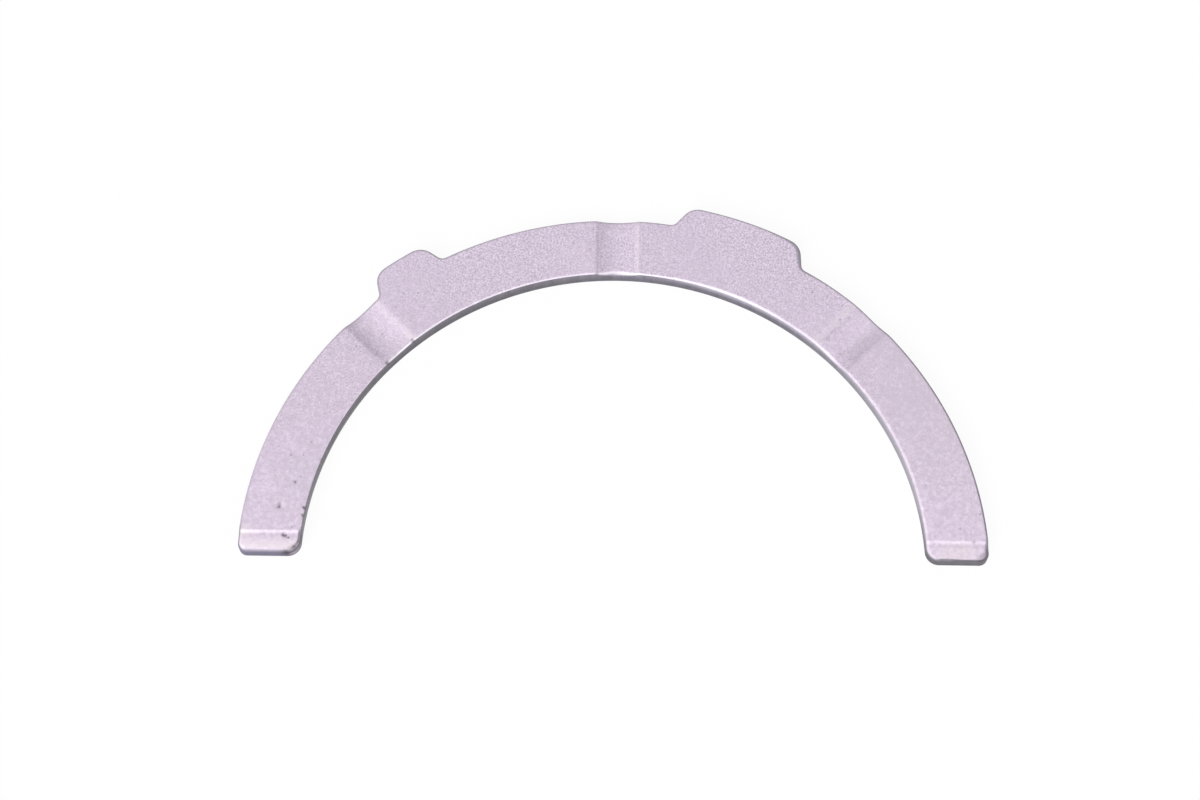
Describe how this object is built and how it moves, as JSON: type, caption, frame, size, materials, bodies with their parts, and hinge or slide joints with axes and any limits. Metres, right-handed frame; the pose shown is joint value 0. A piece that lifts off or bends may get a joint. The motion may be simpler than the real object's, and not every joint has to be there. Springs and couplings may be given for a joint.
{
  "type": "thrust washer",
  "caption": "Flat half-ring thrust washer with locating tabs on its rim, radial oil grooves across the running face and relieved ends; takes the end thrust of a crankshaft.",
  "frame": {"origin": "on the shaft axis, in the plane of the plain back", "axes": "+Z along the shaft axis, out of the grooved running face; +Y from the shaft axis through the middle groove; +X towards the end beside the large tab"},
  "size_m": [0.076, 0.0391, 0.002],
  "materials": {
    "lined_strip": "matte pale bearing lining on a steel strip, bare grey steel at the edges"
  },
  "bodies": {
    "root": {"thrust_washer": "lined_strip"}
  },
  "joints": []
}
